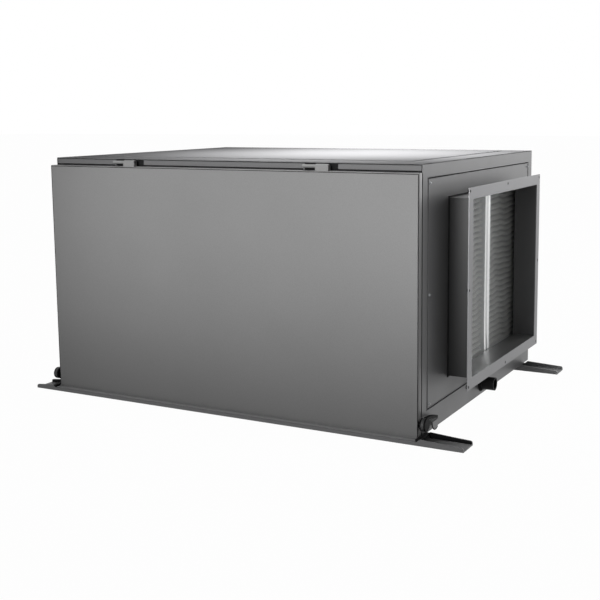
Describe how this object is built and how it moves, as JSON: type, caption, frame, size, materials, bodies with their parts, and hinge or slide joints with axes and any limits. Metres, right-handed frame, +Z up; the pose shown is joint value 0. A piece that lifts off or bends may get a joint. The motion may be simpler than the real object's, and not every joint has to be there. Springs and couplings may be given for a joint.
{
  "type": "ducted air dryer",
  "caption": "Ducted air dryer: low sheet-steel cabinet on two base rails, with a top-hung front door, flanged square duct collars, pleated filters, two coils, a compressor and a centrifugal blower.",
  "frame": {"origin": "middle of the two base rails' footprint, at their underside; the cabinet stands 26 mm left of it", "axes": "+X to the right along the base rails, towards the inlet collar; +Y from the door to the back; +Z up"},
  "size_m": [1.358, 0.941, 0.6915],
  "materials": {
    "cabinet_powder_coat": "satin grey metallic powder coat",
    "door_powder_coat": "satin grey metallic powder coat",
    "collar_dark_paint": "dark grey semi-matt paint",
    "rail_powder_coat": "dark grey satin powder coat",
    "galvanised_steel": "bright galvanised sheet",
    "filter_cloth": "pleated synthetic filter cloth",
    "black_rubber": "matt foam rubber",
    "black_plastic": "moulded black plastic",
    "coil_fins_and_tube": "aluminium fins on copper tube with galvanised end plates",
    "copper_tube": "bare drawn copper",
    "black_enamel": "baked black enamel"
  },
  "bodies": {
    "cabinet": {"front_rail": "rail_powder_coat", "back_rail": "rail_powder_coat", "base_tray": "cabinet_powder_coat", "top_panel": "cabinet_powder_coat", "top_cover": "cabinet_powder_coat", "header": "cabinet_powder_coat", "back_panel": "cabinet_powder_coat", "side_frame_left": "cabinet_powder_coat", "side_frame_right": "cabinet_powder_coat", "service_panel_left": "cabinet_powder_coat", "service_panel_right": "cabinet_powder_coat", "panel_gasket_left": "black_rubber", "panel_gasket_right": "black_rubber", "duct_collar_left": "collar_dark_paint", "duct_collar_right": "collar_dark_paint", "filter_frame_front": "galvanised_steel", "filter_frame_back": "galvanised_steel", "filter_media_front": "filter_cloth", "filter_media_back": "filter_cloth", "filter_track_bottom": "cabinet_powder_coat", "filter_track_top": "cabinet_powder_coat", "hinge_pin_half_left": "cabinet_powder_coat", "hinge_pin_half_right": "cabinet_powder_coat", "latch_keeper_left": "cabinet_powder_coat", "latch_keeper_right": "cabinet_powder_coat", "drain_spigot": "black_plastic", "drip_tray": "galvanised_steel", "coil_evaporator": "coil_fins_and_tube", "coil_condenser": "coil_fins_and_tube", "compressor": "black_enamel", "suction_pipe": "copper_tube", "discharge_pipe": "copper_tube", "blower_plate": "galvanised_steel", "blower_housing": "galvanised_steel", "blower_cover": "galvanised_steel", "blower_wheel": "galvanised_steel", "blower_motor": "black_enamel", "blower_guard": "black_enamel", "control_box": "cabinet_powder_coat"},
    "door": {"front_door": "door_powder_coat", "door_liner": "black_rubber", "hinge_door_half_left": "cabinet_powder_coat", "hinge_door_half_right": "cabinet_powder_coat", "latch_boss_left": "collar_dark_paint", "latch_boss_right": "collar_dark_paint"},
    "latch_left": {"latch_knob_left": "black_plastic"},
    "latch_right": {"latch_knob_right": "black_plastic"}
  },
  "joints": [
    {"name": "door_hinge", "type": "hinge", "parent": "cabinet", "child": "door", "pos_m": [-0.026, -0.44, 0.6805], "axis": [-1, 0, 0], "range_deg": [0, 90]},
    {"name": "latch_turn_left", "type": "hinge", "parent": "door", "child": "latch_left", "pos_m": [-0.617, -0.44, 0.046], "axis": [1, 0, 0], "range_deg": [0, 90]},
    {"name": "latch_turn_right", "type": "hinge", "parent": "door", "child": "latch_right", "pos_m": [0.565, -0.44, 0.046], "axis": [1, 0, 0], "range_deg": [0, 90]}
  ]
}
